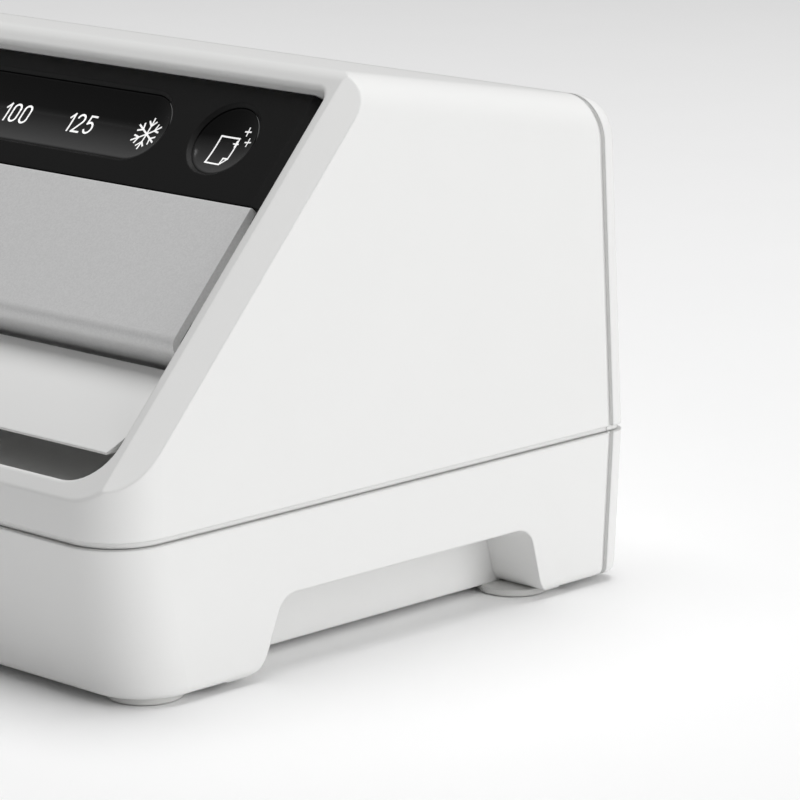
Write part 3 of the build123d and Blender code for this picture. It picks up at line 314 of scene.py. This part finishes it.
def printed(name, strokes, middle_x, straight, centre, scale, line_mm):
    """Ink lines that follow a dished lens. Strokes are lists of points, as shares of the scale."""
    half_line = line_mm * MM / 2
    points = []
    faces = []
    for stroke in strokes:
        path = [Vector((centre[0] + x * scale[0], centre[1] + y * scale[1])) for x, y in stroke]
        for start, end in zip(path, path[1:]):
            along = (end - start).normalized() * half_line
            across = Vector((-along.y, along.x))
            start, end = start - along * end_overrun, end + along * end_overrun
            steps = max(2, int((end - start).length / stroke_step))
            for step in range(steps + 1):
                spot = start.lerp(end, step / steps)
                for edge in (spot - across, spot + across):
                    depth = dish_depth(edge.x, edge.y, middle_x, straight) - ink_above_lens
                    points.append(on_front(edge.x, edge.y, depth))
                if step > 0:
                    n = len(points)
                    faces.append([n - 4, n - 2, n - 1, n - 3])
    mesh = bpy.data.meshes.new(name)
    mesh.from_pydata(points, [], faces)
    mesh.materials.append(ink)
    symbol = bpy.data.objects.new(name, mesh)
    bpy.context.collection.objects.link(symbol)
    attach(symbol, "root")


def arc(cx, cy, rx, ry, start, end, steps):
    """Points along an elliptical arc, in degrees."""
    turns = [math.radians(start + (end - start) * k / steps) for k in range(steps + 1)]
    return [(cx + rx * math.cos(t), cy + ry * math.sin(t)) for t in turns]


digits = {
    "0": [
        [(0.5, 0.25), (0.5, 0.75)] + arc(0.26, 0.75, 0.24, 0.25, 0, 180, 10)
        + arc(0.26, 0.25, 0.24, 0.25, 180, 360, 10)
    ],
    "1": [[(0.02, 0.76), (0.24, 1.0), (0.24, 0.0)]],
    "2": [arc(0.26, 0.75, 0.24, 0.25, 165, -38, 12) + [(0.02, 0.0), (0.52, 0.0)]],
    "5": [[(0.48, 1.0), (0.09, 1.0), (0.05, 0.56)] + arc(0.25, 0.33, 0.25, 0.31, 120, -150, 14)],
    "8": [arc(0.26, 0.76, 0.2, 0.24, 0, 360, 18), arc(0.26, 0.27, 0.24, 0.27, 0, 360, 18)],
}
advance = {"0": 0.78, "1": 0.52, "2": 0.78, "5": 0.78, "8": 0.78}
space_after = 0.24
figure_height = 5.7 * MM
figure_up = -1.4 * MM
for number, number_x in (("80", 104.5), ("100", 131.5), ("125", 158.5)):
    x = -(sum(advance[c] for c in number) - space_after) / 2
    strokes = []
    for c in number:
        strokes += [[(px + x, py - 0.5) for px, py in stroke] for stroke in digits[c]]
        x += advance[c]
    printed(
        "thickness_mark_" + number, strokes, 0.0, display_straight,
        (number_x * MM, figure_up), (figure_height, figure_height), 0.62,
    )

snowflake = []
for arm in range(6):
    angle = math.radians(90 + 60 * arm)
    out = Vector((math.cos(angle), math.sin(angle)))
    side = Vector((-out.y, out.x))
    snowflake.append([(0, 0), tuple(out)])
    knot = out * 0.52
    for sign in (-1, 1):
        snowflake.append([tuple(knot), tuple(knot + (out + side * sign) * 0.27)])
printed(
    "cold_mark", snowflake, 0.0, display_straight,
    (185.4 * MM, -1.3 * MM), (5.1 * MM, 5.1 * MM), 0.55,
)

sheet = [
    [(0.5, -0.26), (0.5, 0.5), (-0.5, 0.5), (-0.5, -0.5), (0.24, -0.5), (0.5, -0.26)],
    [(0.24, -0.5), (0.24, -0.26), (0.5, -0.26)],
]
printed(
    "sheet_mark", sheet, button_x, 0.0,
    (button_x - 0.1 * MM, -2.6 * MM), (7.0 * MM, 9.0 * MM), 0.5,
)
sparkle = [[(-1, 0), (1, 0)], [(0, -1), (0, 1)]]
for k, (right, up, size) in enumerate(((5.3, 4.2, 1.2), (7.4, 0.9, 1.2), (3.0, 0.1, 0.9))):
    printed(
        "sparkle_mark_" + str(k), sparkle, button_x, 0.0,
        (button_x + right * MM, up * MM), (size * MM, size * MM), 0.42,
    )

standby = [arc(0, 0, 1, 1, 120, 420, 24), [(0, 0.35), (0, 1.15)]]
printed(
    "standby_mark", standby, -button_x, 0.0,
    (-button_x, -0.6 * MM), (3.6 * MM, 3.6 * MM), 0.6,
)


# --- Rubber feet ------------------------------------------------------------
# Four discs of soft grey rubber, moulded and glued flat under the corners.
# They look matt and slightly darker than the casing.
rubber = moulded("rubber_soft_grey", "#D9D9D7", "#D2D2D0", 0.75, 0.08, 0.6, 0.05, 1.52)
finish_nodes(rubber, "rubber_feet")


# --- Rear connections and inner plastics --------------------------------------
# Inlet, rocker switch, tray guides, stand-offs and the board's components are
# taken as moulded black nylon or epoxy, clipped or screwed in place.
black_nylon = moulded("nylon_moulded_black", "#1B1B1B", "#141414", 0.5, 0.08, 0.6, 0.03)
finish_nodes(
    black_nylon,
    "power_inlet", "switch_body", "power_rocker", "tray_guides", "board_standoffs",
    "thermostat", "thermal_fuse", "board_components",
)


# --- Rollers and gears --------------------------------------------------------
# Ground steel cores carry red silicone sleeves, moulded on and ground true.
# The gears are natural acetal, pressed on the cores' ends.
def metal(name, colour, roughness, line_mm, stretch):
    """Bare metal with fine lines: a stretch under 1 lays them along X, one over 1 across it."""
    material, tree, shader, place = new_material(name)
    squeeze = add_node(tree, "ShaderNodeMapping", {"Vector": place, "Scale": (stretch, 1, 1)})
    lines = add_node(tree, "ShaderNodeTexNoise", {
        "Vector": squeeze.outputs["Vector"], "Scale": pattern_scale(line_mm), "Detail": 3.0,
    })
    gloss = add_node(tree, "ShaderNodeMapRange", {
        "Value": lines.outputs["Fac"], "To Min": roughness - 0.08, "To Max": roughness + 0.08,
    })
    bump = add_node(tree, "ShaderNodeBump", {
        "Height": lines.outputs["Fac"], "Strength": 0.2, "Distance": 0.01 * MM,
    })
    tree.links.new(gloss.outputs["Result"], shader.inputs["Roughness"])
    tree.links.new(bump.outputs["Normal"], shader.inputs["Normal"])
    shader.inputs["Base Color"].default_value = linear(colour)
    shader.inputs["Metallic"].default_value = 1.0
    return material


ground_steel = metal("steel_ground", "#C4C6C8", 0.3, 0.5, 8.0)
silicone = moulded("silicone_ground_red", "#A34A38", "#96402F", 0.6, 0.06, 0.8, 0.02, 1.41)
acetal = moulded("acetal_moulded_natural", "#E4E1D6", "#DCD8CC", 0.45, 0.05, 0.8, 0.02, 1.48)
for roller in ("feed_roller_lower", "feed_roller_upper", "exit_roller_lower", "exit_roller_upper"):
    finish_nodes(ground_steel, roller + "_core")
    finish_nodes(silicone, roller + "_sleeve")
    finish_nodes(acetal, roller + "_gear")
finish_nodes(acetal, "idler_gear", "motor_pinion")
finish_nodes(ground_steel, "idler_stud", "motor_output_shaft", "frame_bars", "pressure_springs")


# --- Frame and drive ----------------------------------------------------------
# Side frames, guides, bracket and motor cans are pressed from zinc-plated
# steel. Bushes, bearing blocks and the inlet's pins are bronze. The hot shoes
# are cut from aluminium extrusions.
zinc_steel = metal("steel_zinc_plated", "#B5B9BC", 0.42, 1.2, 1.0)
finish_nodes(
    zinc_steel,
    "side_frame_right", "side_frame_left", "motor_bracket", "gearbox", "motor", "entry_guides",
    "middle_guides", "exit_guides", "heat_shield", "frame_screws", "casing_screws",
)
sintered_bronze = metal("bronze_sintered", "#B08A4E", 0.5, 0.6, 1.0)
finish_nodes(sintered_bronze, "roller_bushes", "bearing_blocks", "inlet_pins")
extruded_aluminium = metal("aluminium_extruded", "#C9CBCD", 0.38, 0.7, 0.05)
finish_nodes(extruded_aluminium, "upper_hot_shoe", "lower_hot_shoe")


# --- Circuit boards -------------------------------------------------------------
# Glass-epoxy boards under a green solder mask, which is smooth and satin. The
# main board stands on its stand-offs, the touch board behind the windows.
solder_mask = moulded("epoxy_green_mask", "#1F6B43", "#1A5E3A", 0.35, 0.05, 2.5, 0.02, 1.55)
finish_nodes(solder_mask, "main_board", "touch_board")


# --- Floor and light --------------------------------------------------------------
# A sweep of matt white paper with a broad, faint mottle, lit by a large soft
# box to the right and one overhead.
paper, paper_tree, paper_shader, paper_place = new_material("paper_white_sweep")
paper_noise = add_node(paper_tree, "ShaderNodeTexNoise", {
    "Vector": paper_place, "Scale": pattern_scale(60), "Detail": 3.0,
})
paper_colour = add_node(paper_tree, "ShaderNodeMix", {
    "Factor": paper_noise.outputs["Fac"], "A": linear("#FCFCFC"), "B": linear("#FAFAFA"),
}, data_type="RGBA")
paper_tree.links.new(paper_colour.outputs["Result"], paper_shader.inputs["Base Color"])
paper_shader.inputs["Roughness"].default_value = 0.9
floor_half = 8.0
floor_height = -0.2 * MM
floor_corners = [
    (floor_half * right, floor_half * back, floor_height)
    for right, back in ((-1, -1), (1, -1), (1, 1), (-1, 1))
]
floor_mesh = bpy.data.meshes.new("floor")
floor_mesh.from_pydata(floor_corners, [], [(0, 1, 2, 3)])
floor_mesh.materials.append(paper)
floor = bpy.data.objects.new("floor", floor_mesh)
bpy.context.collection.objects.link(floor)

world = bpy.data.worlds.new("studio")
world.use_nodes = True
world.node_tree.nodes["Background"].inputs["Color"].default_value = (1.0, 1.0, 1.0, 1.0)
world.node_tree.nodes["Background"].inputs["Strength"].default_value = 0.22
bpy.context.scene.world = world

soft_boxes = {
    "side_box": ((2.4, 0.5, 0.9), 1.8, 27.0),
    "top_box": ((0.1, 0.3, 2.4), 2.0, 42.0),
}
lit_point = Vector((0.1, 0, 0.07))
for name, (place, width, watts) in soft_boxes.items():
    light = bpy.data.lights.new(name, "AREA")
    light.shape = "SQUARE"
    light.size = width
    light.energy = watts
    lamp = bpy.data.objects.new(name, light)
    lamp.location = place
    lamp.rotation_mode = "QUATERNION"
    lamp.rotation_quaternion = (lit_point - Vector(place)).to_track_quat("-Z", "Y")
    bpy.context.collection.objects.link(lamp)
